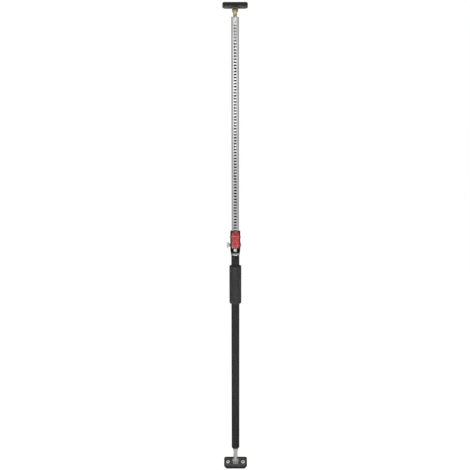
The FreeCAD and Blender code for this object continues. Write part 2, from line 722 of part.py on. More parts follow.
def make_pad(label):
    body = new_body(label)
    face = "fork_web + fork_plate"
    contact = f"{face} + pad_thick"
    block = new_sketch(body, "XY_Plane", face)
    shoe_outline(block, "pad")
    add_screw_holes(block)
    add_pad(body, block, "pad_thick")
    add_chamfer(body, "pad_bevel",
                lambda edge: flat_at(edge, "Z", contact) and edge.Curve.TypeId == "Part::GeomLine")
    recess = new_sketch(body, "XY_Plane", f"{face} + plate_thick")
    shoe_outline(recess, "plate")
    add_pocket(body, recess, depth="plate_thick")
    groove = new_sketch(body, "XY_Plane", contact)
    reach = "pad_half_x + over"
    rectangle(groove, f"-({reach})", reach,
              "-groove_pitch / 2 - groove_half", "-groove_pitch / 2 + groove_half")
    cut = add_pocket(body, groove, depth="groove_deep")
    add_pattern(body, cut, "Y_Axis", "groove_pitch", "2")
    return body


def make_shoe(name):
    pieces = [
        make_fork(name + "_fork"),
        make_plate(name + "_plate"),
        make_pad(name + "_pad"),
        plain_pin(name + "_pivot_pin", "fork_gap + fork_plate + pivot_proud", "pivot_r"),
    ]
    for body in pieces:
        turn = FreeCAD.Rotation(FreeCAD.Vector(1, 0, 0), number(name + "_tilt"))
        body.Placement = FreeCAD.Placement(FreeCAD.Vector(0, 0, 0), turn)
        body.setExpression(".Placement.Rotation.Angle", bound(f"{name}_tilt * 1 deg"))
        body.setExpression(".Placement.Base.z", bound(name + "_pivot_z"))


make_outer_tube()
make_latch_bracket()
sleeve("tube_ferrule", "tube_r", "ferrule_r", "ferrule_bottom", "bracket_bottom")
sleeve("hand_grip", "tube_r", "grip_r", "grip_bottom", "grip_top")
make_foot_stud()
make_lever_pin()
make_release_lever()
make_pawl()
make_lever_spring()
make_clamp_bolt()
make_washer()
make_wing_nut()
make_inner_tube()
make_spindle_nut()
make_spindle()
sleeve("spindle_guide", "journal_r + running_gap", "guide_r",
       "spindle_bottom - guide_thick", "spindle_bottom - running_gap")
make_shoe("head")
make_shoe("foot")
doc.recompute()

# Every object has to be sound before anything is written
for item in doc.Objects:
    if "Invalid" in item.State or "Error" in item.State:
        raise RuntimeError(f"{item.Label} failed: {item.State}")
for piece in parts:
    if piece.Shape.isNull() or not piece.Shape.isValid():
        raise RuntimeError(f"{piece.Label} has no valid shape")

os.makedirs("parts", exist_ok=True)
for piece in parts:
    piece.Shape.exportStep(f"parts/{piece.Label}.step")
    box = piece.Shape.BoundBox
    print(f"{piece.Label}: {len(piece.Shape.Solids)} solid, {piece.Shape.Volume:.0f} mm3,"
          f" X {box.XMin:.1f}..{box.XMax:.1f} Y {box.YMin:.1f}..{box.YMax:.1f}"
          f" Z {box.ZMin:.1f}..{box.ZMax:.1f}")
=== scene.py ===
import json
import math

import bpy
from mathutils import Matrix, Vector

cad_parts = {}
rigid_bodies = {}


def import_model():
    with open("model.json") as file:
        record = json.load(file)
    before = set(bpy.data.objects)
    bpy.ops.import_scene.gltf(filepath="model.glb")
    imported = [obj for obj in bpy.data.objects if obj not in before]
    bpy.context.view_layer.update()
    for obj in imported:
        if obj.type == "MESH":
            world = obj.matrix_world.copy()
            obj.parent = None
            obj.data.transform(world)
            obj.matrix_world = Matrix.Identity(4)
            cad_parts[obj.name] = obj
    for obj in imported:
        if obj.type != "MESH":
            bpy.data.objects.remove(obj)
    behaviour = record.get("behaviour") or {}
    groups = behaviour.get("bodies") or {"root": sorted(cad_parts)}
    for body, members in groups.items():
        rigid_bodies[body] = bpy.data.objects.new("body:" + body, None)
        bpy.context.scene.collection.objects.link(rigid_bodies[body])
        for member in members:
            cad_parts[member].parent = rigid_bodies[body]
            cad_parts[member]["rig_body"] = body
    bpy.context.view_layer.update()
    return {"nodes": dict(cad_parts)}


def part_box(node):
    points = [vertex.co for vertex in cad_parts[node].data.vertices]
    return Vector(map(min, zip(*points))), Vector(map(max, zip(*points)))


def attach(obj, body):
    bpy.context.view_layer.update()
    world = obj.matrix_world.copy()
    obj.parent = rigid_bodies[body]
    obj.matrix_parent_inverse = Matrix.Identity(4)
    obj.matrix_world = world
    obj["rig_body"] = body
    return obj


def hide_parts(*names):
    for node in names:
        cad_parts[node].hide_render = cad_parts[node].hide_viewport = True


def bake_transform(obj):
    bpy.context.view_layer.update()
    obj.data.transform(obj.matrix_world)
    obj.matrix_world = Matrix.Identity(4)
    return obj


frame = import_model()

# Outer tube: a welded steel tube, cut open at the front of its upper end for the pawl and
# rolled in round the stud at its lower end. It is powder coated in black, with the faint
# orange peel that the baked powder leaves; the copy joins the solid's facets.


def pick(piece):
    bpy.ops.object.select_all(action="DESELECT")
    piece.select_set(True)
    bpy.context.view_layer.objects.active = piece


def near(value, wanted, reach=1e-5):
    return abs(value - wanted) < reach


def select_where(piece, kind, test):
    """Selects the vertices, edges or faces that pass the test, and stays in edit mode."""
    bpy.ops.object.mode_set(mode="EDIT")
    bpy.ops.mesh.select_mode(type=kind)
    bpy.ops.mesh.select_all(action="DESELECT")
    bpy.ops.object.mode_set(mode="OBJECT")
    mesh = piece.data
    if kind == "VERT":
        for vertex in mesh.vertices:
            vertex.select = test(vertex.co)
    elif kind == "EDGE":
        for edge in mesh.edges:
            edge.select = all(test(mesh.vertices[i].co) for i in edge.vertices)
    else:
        for face in mesh.polygons:
            face.select = test(face.center)
    bpy.ops.object.mode_set(mode="EDIT")


def joined_copy(node):
    """A copy of a CAD solid whose facets are joined into whole faces."""
    weld = 2e-6
    flat = math.radians(0.5)
    piece = bpy.data.objects.new(node + "_finished", frame["nodes"][node].data.copy())
    bpy.context.scene.collection.objects.link(piece)
    pick(piece)
    bpy.ops.mesh.customdata_custom_splitnormals_clear()
    bpy.ops.object.mode_set(mode="EDIT")
    bpy.ops.mesh.select_all(action="SELECT")
    bpy.ops.mesh.remove_doubles(threshold=weld)
    bpy.ops.mesh.dissolve_limited(angle_limit=flat)
    bpy.ops.object.mode_set(mode="OBJECT")
    return piece


crease = math.radians(35)


def round_edges(piece, edge, segments=2):
    pick(piece)
    rounding = piece.modifiers.new("rounding", "BEVEL")
    rounding.width = edge
    rounding.segments = segments
    rounding.limit_method = "ANGLE"
    rounding.angle_limit = crease
    bpy.ops.object.modifier_apply(modifier="rounding")
    bpy.ops.object.shade_smooth_by_angle(angle=crease)


def settle(piece, body, node, material):
    """Lets a piece ride on its body, in place of the CAD node, in its finish."""
    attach(piece, body)
    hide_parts(node)
    piece.data.materials.clear()
    piece.data.materials.append(material)


def finished_copy(node, material, edge, segments=2):
    """A joined copy of a CAD solid with its edges rounded, standing for the node."""
    piece = joined_copy(node)
    round_edges(piece, edge, segments)
    settle(piece, frame["nodes"][node]["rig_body"], node, material)
    return piece


def grained_finish(name, dark, light, grain, metallic, roughness, bump, shine, rim=1.0):
    """A finish that drifts between two tones; grain is the size of its marks along X, Y and Z,
    and a rim below 1 dulls a metal where it turns away."""
    mark_low, mark_high = 0.3, 0.7
    material = bpy.data.materials.new(name)
    material.use_nodes = True
    nodes = material.node_tree.nodes
    links = material.node_tree.links
    shader = nodes["Principled BSDF"]
    shader.inputs["Metallic"].default_value = metallic
    shader.inputs["Specular IOR Level"].default_value = shine
    shader.inputs["Specular Tint"].default_value = (rim, rim, rim, 1)
    place = nodes.new("ShaderNodeTexCoord")
    scale = nodes.new("ShaderNodeMapping")
    scale.inputs["Scale"].default_value = [1 / size for size in grain]
    marks = nodes.new("ShaderNodeTexNoise")
    marks.inputs["Scale"].default_value = 1
    marks.inputs["Detail"].default_value = 5
    marks.inputs["Roughness"].default_value = 0.6
    tone = nodes.new("ShaderNodeValToRGB")
    tone.color_ramp.elements[0].position = mark_low
    tone.color_ramp.elements[0].color = (*dark, 1)
    tone.color_ramp.elements[1].position = mark_high
    tone.color_ramp.elements[1].color = (*light, 1)
    polish = nodes.new("ShaderNodeMapRange")
    polish.inputs["From Min"].default_value = mark_low
    polish.inputs["From Max"].default_value = mark_high
    polish.inputs["To Min"].default_value = roughness[0]
    polish.inputs["To Max"].default_value = roughness[1]
    relief = nodes.new("ShaderNodeBump")
    relief.inputs["Strength"].default_value = 1
    relief.inputs["Distance"].default_value = bump
    links.new(place.outputs["Object"], scale.inputs["Vector"])
    links.new(scale.outputs["Vector"], marks.inputs["Vector"])
    links.new(marks.outputs["Fac"], tone.inputs["Fac"])
    links.new(tone.outputs["Color"], shader.inputs["Base Color"])
    links.new(marks.outputs["Fac"], polish.inputs["Value"])
    links.new(polish.outputs["Result"], shader.inputs["Roughness"])
    links.new(marks.outputs["Fac"], relief.inputs["Height"])
    links.new(relief.outputs["Normal"], shader.inputs["Normal"])
    return material


orange_peel = (0.0011, 0.0011, 0.0011)
black_powder = grained_finish("black_powder_coat", (0.017, 0.017, 0.018), (0.026, 0.026, 0.027),
                              grain=orange_peel, metallic=0.0, roughness=(0.60, 0.70),
                              bump=0.00005, shine=0.14)
tube_low, tube_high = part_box("outer_tube")
tube_radius = tube_high.x
rolled_in = 0.0024
roll_softness = 0.0011
outer_tube = joined_copy("outer_tube")
for radius, height in ((tube_radius, tube_low.z + rolled_in), (tube_radius - rolled_in, tube_low.z)):
    select_where(outer_tube, "EDGE", lambda end: near(end.z, height) and near(end.xy.length, radius))
    bpy.ops.mesh.bevel(offset=roll_softness, segments=3, affect="EDGES")
bpy.ops.object.mode_set(mode="OBJECT")
round_edges(outer_tube, edge=0.0003)
settle(outer_tube, "outer", "outer_tube", black_powder)


# Latch bracket: a plate bent round the back of the tube and welded to it, with two cheeks
# that reach forward and carry the lever pin and the clamp bolt; same powder as the tube.
finished_copy("latch_bracket", black_powder, edge=0.0009, segments=3)


# Ferrule: a short zinc-plated ring pushed up against the bracket, which holds the tube round
# below its window; its rims are rolled, and its plating carries near-black and pale patches that are painted
# reflections.
# Tone drifts from near black to pale zinc in patches: painted reflections on the ring.
zinc_with_painted_reflections = grained_finish("zinc_with_painted_reflections", (0.012, 0.012, 0.012), (0.50, 0.50, 0.49),
                               grain=(0.008, 0.008, 0.006), metallic=1.0, roughness=(0.12, 0.20),
                               bump=0.00012, shine=0.5, rim=0.35)
finished_copy("tube_ferrule", zinc_with_painted_reflections, edge=0.0006, segments=3)


# Hand grip: a sleeve of black closed-cell foam pushed on the tube, with its upper rim cut
# square and softened and its lower end drawn in over a longer curve.
grip_low, grip_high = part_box("hand_grip")
grip_radius = grip_high.x
bpy.ops.object.select_all(action="DESELECT")
bpy.ops.mesh.primitive_cylinder_add(vertices=96, radius=grip_radius, depth=grip_high.z - grip_low.z,
                                    location=(0, 0, (grip_low.z + grip_high.z) / 2))
grip = bpy.context.object
grip.name = "foam_grip"
bpy.ops.object.transform_apply(location=True, rotation=True, scale=True)
select_where(grip, "FACE", lambda middle: near(middle.z, grip_high.z) or near(middle.z, grip_low.z))
bpy.ops.mesh.inset(thickness=grip_radius - tube_radius, depth=0, use_individual=True)
bpy.ops.mesh.bridge_edge_loops()
upper_softness, lower_softness = 0.0036, 0.0062
for rim, softness, steps in ((grip_high.z, upper_softness, 6), (grip_low.z, lower_softness, 8)):
    select_where(grip, "EDGE", lambda end: near(end.z, rim) and near(end.xy.length, grip_radius))
    bpy.ops.mesh.bevel(offset=softness, segments=steps, profile=0.5, affect="EDGES")
bpy.ops.object.mode_set(mode="OBJECT")
foam_crease = math.radians(40)
bpy.ops.object.shade_smooth_by_angle(angle=foam_crease)
foam = grained_finish("black_foam", (0.031, 0.031, 0.032), (0.050, 0.050, 0.051),
                      grain=(0.0008, 0.0008, 0.0008), metallic=0.0, roughness=(0.8, 0.95),
                      bump=0.00018, shine=0.15)
settle(grip, "outer", "hand_grip", foam)


# Foot stud: a zinc-plated steel plug held in the tube's rolled end, turned down over a short
# cone to a rod whose end is milled round and drilled for the foot's pivot pin.
satin_zinc = grained_finish("satin_zinc", (0.31, 0.31, 0.31), (0.46, 0.46, 0.45),
                            grain=(0.004, 0.004, 0.012), metallic=1.0, roughness=(0.26, 0.38),
                            bump=0.00003, shine=0.5, rim=0.35)
finished_copy("foot_stud", satin_zinc, edge=0.0005)


# Lever pin, release lever and pawl: a pressed lever in red powder coat and a hardened tooth
# hang on one plain pin through both cheeks; the tooth drops into the tube's slots.
red_powder = grained_finish("red_powder_coat", (0.42, 0.032, 0.028), (0.50, 0.044, 0.038),
                            grain=orange_peel, metallic=0.0, roughness=(0.12, 0.18),
                            bump=0.0000006, shine=0.42)
finished_copy("release_lever", red_powder, edge=0.0006, segments=3)
dark_steel = grained_finish("hardened_steel", (0.10, 0.10, 0.11), (0.17, 0.17, 0.18),
                            grain=(0.003, 0.003, 0.003), metallic=1.0, roughness=(0.35, 0.5),
                            bump=0.00003, shine=0.5)
finished_copy("pawl", dark_steel, edge=0.0004)
finished_copy("lever_pivot_pin", dark_steel, edge=0.0009, segments=3)


# Lever spring: a coil of oiled spring wire round the pin, with one leg on the back of the
# thumb pad and one on the clamp bolt, which push the pawl towards the slots. The coil is
# built once, in its resting shape, and rides on no body.
coil_start = Vector((0.0113, -0.022, 0.950))
coil_radius = 0.00445
coil_turns = 3.519
coil_pitch = 0.00125
coil_length = coil_pitch * coil_turns
wire_radius = 0.0006
coil_lean = math.radians(2.1)
coil_end = 2 * math.pi * coil_turns
bpy.ops.object.select_all(action="DESELECT")
bpy.ops.mesh.primitive_circle_add(vertices=10, radius=wire_radius, location=coil_start)
spring = bpy.context.object
spring.name = "spring_wire"
bpy.ops.object.mode_set(mode="EDIT")
bpy.ops.mesh.select_all(action="SELECT")
bpy.ops.transform.translate(value=(0, -coil_radius, 0))
bpy.ops.object.mode_set(mode="OBJECT")
coil = spring.modifiers.new("coil", "SCREW")
coil.axis = "X"
coil.angle = -coil_end
coil.screw_offset = -coil_length
coil.steps = 90
coil.render_steps = 90
bpy.ops.object.modifier_apply(modifier="coil")
start_spot = Vector((0, -coil_radius, 0))
end_spot = Vector((-coil_length, -coil_radius * math.cos(coil_end), coil_radius * math.sin(coil_end)))
end_way = Vector((0, math.sin(coil_end), math.cos(coil_end)))
pad_leg, bolt_leg = 0.025, 0.033
for spot, way, leg in ((start_spot, Vector((0, 0, -1)), pad_leg), (end_spot, end_way, bolt_leg)):
    select_where(spring, "VERT", lambda point: near((point - spot).dot(way), 0)
                 and (point - spot).length < 1.1 * wire_radius)
    bpy.ops.mesh.extrude_region_move(TRANSFORM_OT_translate={"value": way * leg})
    bpy.ops.mesh.edge_face_add()
bpy.ops.mesh.select_all(action="SELECT")
bpy.ops.mesh.normals_make_consistent(inside=False)
bpy.ops.object.mode_set(mode="OBJECT")
spring.rotation_euler = (-coil_lean, 0, 0)
pick(spring)
bpy.ops.object.transform_apply(location=True, rotation=True, scale=True)
wire_crease = math.radians(50)
bpy.ops.object.shade_smooth_by_angle(angle=wire_crease)
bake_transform(spring)
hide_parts("lever_spring")
spring.data.materials.append(dark_steel)


# Clamp: a carriage bolt through both cheeks, with a domed head on the right and a rolled
# thread on the left, where a washer and a cast wing nut draw the cheeks together.
def screw_thread(name, axis, place, root, profile, turns):
    """A ridge wound about the axis: profile is a row of (outward, along) steps of one turn."""
    bpy.ops.object.select_all(action="DESELECT")
    bpy.ops.mesh.primitive_plane_add(size=root, location=place)
    thread = bpy.context.object
    thread.name = name
    along = Vector((0, 0, 1)) if axis == "Z" else Vector((1, 0, 0))
    outward = Vector((along.z, 0, along.x))
    bpy.ops.object.mode_set(mode="EDIT")
    bpy.ops.mesh.select_mode(type="VERT")
    bpy.ops.mesh.select_all(action="SELECT")
    bpy.ops.mesh.merge(type="CENTER")
    bpy.ops.transform.translate(value=outward * root)
    for step_out, step_along in profile:
        step = outward * step_out + along * step_along
        bpy.ops.mesh.extrude_region_move(TRANSFORM_OT_translate={"value": step})
    bpy.ops.object.mode_set(mode="OBJECT")
    winding = thread.modifiers.new("winding", "SCREW")
    winding.axis = axis
    winding.screw_offset = sum(step_along for step_out, step_along in profile)
    winding.iterations = turns
    winding.steps = 32
    winding.render_steps = 32
    winding.use_merge_vertices = True
    winding.merge_threshold = 1e-6
    bpy.ops.object.modifier_apply(modifier="winding")
    bpy.ops.object.transform_apply(location=True, rotation=True, scale=True)
    return thread


def saw_off(piece, place, way):
    """Cuts off what lies on the far side of a plane and closes the cut."""
    pick(piece)
    bpy.ops.object.mode_set(mode="EDIT")
    bpy.ops.mesh.select_all(action="SELECT")
    bpy.ops.mesh.bisect(plane_co=place, plane_no=way, use_fill=True, clear_outer=True)
    bpy.ops.mesh.select_all(action="SELECT")
    bpy.ops.mesh.normals_make_consistent(inside=False)
    bpy.ops.object.mode_set(mode="OBJECT")


bolt_low, bolt_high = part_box("clamp_bolt")
bolt_y = (bolt_low.y + bolt_high.y) / 2
bolt_z = (bolt_low.z + bolt_high.z) / 2
bolt_radius = 0.003
dome_radius = bolt_high.z - bolt_z
dome_height = 0.0038
dome_foot = bolt_high.x - dome_height
thread_start = -0.014
dome_middle = Vector((dome_foot, bolt_y, bolt_z))
bpy.ops.object.select_all(action="DESELECT")
bpy.ops.mesh.primitive_uv_sphere_add(segments=40, ring_count=20, radius=dome_radius, location=dome_middle,
                                     rotation=(0, math.pi / 2, 0))
bolt = bpy.context.object
bolt.name = "carriage_bolt"
bpy.ops.object.transform_apply(location=True, rotation=True, scale=True)
saw_off(bolt, dome_middle, (-1, 0, 0))
bpy.ops.object.mode_set(mode="EDIT")
bpy.ops.mesh.select_all(action="SELECT")
bpy.ops.transform.resize(value=(dome_height / dome_radius, 1, 1), center_override=dome_middle)
select_where(bolt, "FACE", lambda middle: near(middle.x, dome_foot))
bpy.ops.mesh.inset(thickness=dome_radius - bolt_radius, depth=0)
bpy.ops.mesh.extrude_region_move(TRANSFORM_OT_translate={"value": (thread_start - dome_foot, 0, 0)})
bpy.ops.object.mode_set(mode="OBJECT")
bolt_root = 0.00245
bolt_depth = bolt_radius - bolt_root
bolt_turn = [(0, 0.00012), (bolt_depth, 0.0004), (0, 0.0001), (-bolt_depth, 0.00038)]
bolt_turns = 21
bolt_overrun = 0.002
thread_place = (bolt_low.x - bolt_overrun, bolt_y, bolt_z)
bolt_thread = screw_thread("bolt_thread", "X", thread_place, bolt_root, bolt_turn, bolt_turns)
saw_off(bolt_thread, (bolt_low.x, bolt_y, bolt_z), (-1, 0, 0))
saw_off(bolt_thread, (thread_start, bolt_y, bolt_z), (1, 0, 0))
pick(bolt)
bolt_thread.select_set(True)
bpy.ops.object.join()
bpy.ops.object.shade_smooth_by_angle(angle=crease)
dull_zinc = grained_finish("dull_zinc", (0.20, 0.20, 0.19), (0.34, 0.34, 0.33),
                           grain=(0.002, 0.002, 0.002), metallic=1.0, roughness=(0.34, 0.46),
                           bump=0.00004, shine=0.5)
settle(bolt, "outer", "clamp_bolt", dull_zinc)
finished_copy("clamp_washer", dull_zinc, edge=0.0003)
cast_zinc = grained_finish("cast_zinc", (0.22, 0.21, 0.205), (0.36, 0.345, 0.335),
                           grain=(0.002, 0.002, 0.002), metallic=1.0, roughness=(0.34, 0.46),
                           bump=0.00005, shine=0.5)
finished_copy("wing_nut", cast_zinc, edge=0.0011, segments=3)


# Inner tube: drawn and galvanised steel tube with a row of oval slots punched down its
# front, one pitch apart, in which the pawl catches; its inside is painted near black as painted shade in the
# bore.
drawn_steel = grained_finish("galvanised_tube", (0.31, 0.31, 0.32), (0.46, 0.46, 0.46),
                             grain=(0.0016, 0.0016, 0.05), metallic=1.0, roughness=(0.24, 0.34),
                             bump=0.00002, shine=0.5, rim=0.35)
# Near-black matt finish for the tube's bore: painted shade.
tube_bore_painted_shade = grained_finish("tube_bore_painted_shade", (0.004, 0.004, 0.004), (0.012, 0.012, 0.011),
                            grain=(0.004, 0.004, 0.03), metallic=0.0, roughness=(0.7, 0.85),
                            bump=0.00003, shine=0.05)
inner_low, inner_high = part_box("inner_tube")
inner_radius = inner_high.x
inner_wall = 0.0012
slot_first = 1.753
slot_pitch = 0.011
slot_count = 78
slot_width = 0.011
slot_height = 0.006
bpy.ops.object.select_all(action="DESELECT")
bpy.ops.mesh.primitive_cylinder_add(vertices=96, radius=inner_radius, depth=inner_high.z - inner_low.z,
                                    location=(0, 0, (inner_low.z + inner_high.z) / 2))
inner_tube = bpy.context.object
inner_tube.name = "slotted_tube"
bpy.ops.object.transform_apply(location=True, rotation=True, scale=True)
select_where(inner_tube, "FACE", lambda middle: near(middle.z, inner_high.z) or near(middle.z, inner_low.z))
bpy.ops.mesh.inset(thickness=inner_wall, depth=0, use_individual=True)
bpy.ops.mesh.bridge_edge_loops()
bpy.ops.object.mode_set(mode="OBJECT")
bpy.ops.object.select_all(action="DESELECT")
bpy.ops.mesh.primitive_cylinder_add(vertices=24, radius=slot_height / 2, depth=inner_radius,
                                    rotation=(math.pi / 2, 0, 0), location=(0, -inner_radius, slot_first))
punch = bpy.context.object
bpy.ops.object.transform_apply(location=True, rotation=True, scale=True)
for side in (-1, 1):
    select_where(punch, "VERT", lambda point: point.x * side > 1e-6)
    bpy.ops.transform.translate(value=(side * (slot_width - slot_height) / 2, 0, 0))
bpy.ops.object.mode_set(mode="OBJECT")
row = punch.modifiers.new("row", "ARRAY")
row.count = slot_count
row.use_relative_offset = False
row.use_constant_offset = True
row.constant_offset_displace = (0, 0, -slot_pitch)
pick(punch)
bpy.ops.object.modifier_apply(modifier="row")
pick(inner_tube)
slots = inner_tube.modifiers.new("slots", "BOOLEAN")
slots.object = punch
slots.operation = "DIFFERENCE"
slots.solver = "EXACT"
bpy.ops.object.modifier_apply(modifier="slots")
bpy.data.objects.remove(punch)
bpy.ops.object.shade_smooth_by_angle(angle=crease)
settle(inner_tube, "inner", "inner_tube", drawn_steel)
# The inside faces take the near-black finish: painted shade seen through the slots.
inner_tube.data.materials.append(tube_bore_painted_shade)
inside_radius = inner_radius - 0.7 * inner_wall
select_where(inner_tube, "FACE", lambda middle: middle.xy.length < inside_radius)
inner_tube.active_material_index = 1
bpy.ops.object.material_slot_assign()
bpy.ops.object.mode_set(mode="OBJECT")


# Spindle nut: a zinc-plated steel bush pressed in the tube's upper end, with a flange that
# covers the tube's rim and the spindle's thread inside.
bright_zinc = grained_finish("bright_zinc", (0.26, 0.26, 0.26), (0.48, 0.48, 0.47),
                             grain=(0.006, 0.006, 0.009), metallic=1.0, roughness=(0.12, 0.20),
                             bump=0.00012, shine=0.5, rim=0.35)
finished_copy("spindle_nut", bright_zinc, edge=0.0006, segments=3)


# Spindle: a coarse rolled screw in yellow passivated zinc, plain and drilled above for the
# head's pivot pin; below, a nylon disc that keeps it straight in the tube runs on its journal.
yellow_zinc = grained_finish("yellow_zinc", (0.23, 0.19, 0.085), (0.34, 0.285, 0.14),
                             grain=(0.006, 0.006, 0.010), metallic=1.0, roughness=(0.28, 0.40),
                             bump=0.00003, shine=0.5, rim=0.3)
spindle_low, spindle_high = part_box("spindle")
spindle_radius = spindle_high.x
thread_low = 1.684
thread_high = 1.7695
spindle_root = 0.0059
thread_depth = spindle_radius - spindle_root
spindle_turn = [(0, 0.001), (thread_depth, 0.0007), (0, 0.0016), (-thread_depth, 0.0007)]
spindle_turns = 24
spindle_place = (0, 0, thread_low - 0.006)
spindle = screw_thread("screw_spindle", "Z", spindle_place, spindle_root, spindle_turn, spindle_turns)
saw_off(spindle, (0, 0, thread_high), (0, 0, 1))
saw_off(spindle, (0, 0, thread_low), (0, 0, -1))
bpy.ops.object.shade_smooth_by_angle(angle=crease)
upper_end = joined_copy("spindle")
saw_off(upper_end, (0, 0, thread_high), (0, 0, -1))
round_edges(upper_end, edge=0.0004)
journal = joined_copy("spindle")
saw_off(journal, (0, 0, thread_low), (0, 0, 1))
round_edges(journal, edge=0.0004)
pick(spindle)
upper_end.select_set(True)
journal.select_set(True)
bpy.ops.object.join()
settle(spindle, "spindle", "spindle", yellow_zinc)
black_nylon = grained_finish("black_nylon", (0.018, 0.018, 0.018), (0.03, 0.03, 0.03),
                             grain=(0.001, 0.001, 0.001), metallic=0.0, roughness=(0.5, 0.6),
                             bump=0.00003, shine=0.3)
finished_copy("spindle_guide", black_nylon, edge=0.0005)


# Shoes at the head and the foot: a fork welded to a black plate and held by a plain pin; a
# moulded rubber pad with a lip grips the plate, and rolled eyelets line its screw holes.
# Dark yellow zinc for the head's fork and eyelets, much darker than the same parts at the foot: painted
# shade on the head's underside.
head_zinc_painted_shade = grained_finish("head_yellow_zinc_painted_shade", (0.085, 0.080, 0.055), (0.16, 0.15, 0.105),
                             grain=(0.003, 0.003, 0.003), metallic=1.0, roughness=(0.36, 0.48),
                             bump=0.00003, shine=0.5)
rubber = grained_finish("black_rubber", (0.013, 0.013, 0.012), (0.027, 0.027, 0.024),
                        grain=(0.0025, 0.0025, 0.0025), metallic=0.0, roughness=(0.6, 0.8),
                        bump=0.00010, shine=0.2)
hammered = (0.0045, 0.0045, 0.0045)
# Hammered black for the head's plate, toned darker than the foot's: painted shade on the head's underside.
head_plate_black_painted_shade = grained_finish("head_plate_black_painted_shade", (0.014, 0.014, 0.013), (0.075, 0.074, 0.068),
                                grain=hammered, metallic=0.0, roughness=(0.55, 0.7),
                                bump=0.00035, shine=0.12)
# The same hammered black for the foot's plate with paler flecks: painted light on its upward face.
foot_plate_black_painted_light = grained_finish("foot_plate_black_painted_light", (0.020, 0.021, 0.018), (0.215, 0.21, 0.195),
                               grain=hammered, metallic=0.0, roughness=(0.55, 0.7),
                               bump=0.00035, shine=0.12)
pad_half_x, pad_half_y = 0.046, 0.025
pad_back, pad_face = 0.0109, 0.0245
pad_corner = 0.005
pad_cut_x, pad_cut_y = 0.009, 0.012
pad_lip = 0.004
pad_bevel = 0.004
groove_y, groove_width, groove_height = 0.0105, 0.003, 0.0036
plate_thick = 0.003
screw_x, screw_radius = 0.030, 0.0035
matt_zinc = grained_finish("matt_zinc", (0.54, 0.54, 0.54), (0.74, 0.74, 0.73),
                           grain=(0.003, 0.003, 0.003), metallic=0.35, roughness=(0.40, 0.55),
                           bump=0.00004, shine=0.5)
eyelet_zinc = grained_finish("eyelet_zinc", (0.62, 0.62, 0.61), (0.76, 0.76, 0.75),
                             grain=(0.003, 0.003, 0.003), metallic=1.0, roughness=(0.14, 0.22),
                             bump=0.00002, shine=0.5)
eyelet_radius, eyelet_height, eyelet_edge = 0.0068, 0.0018, 0.0005
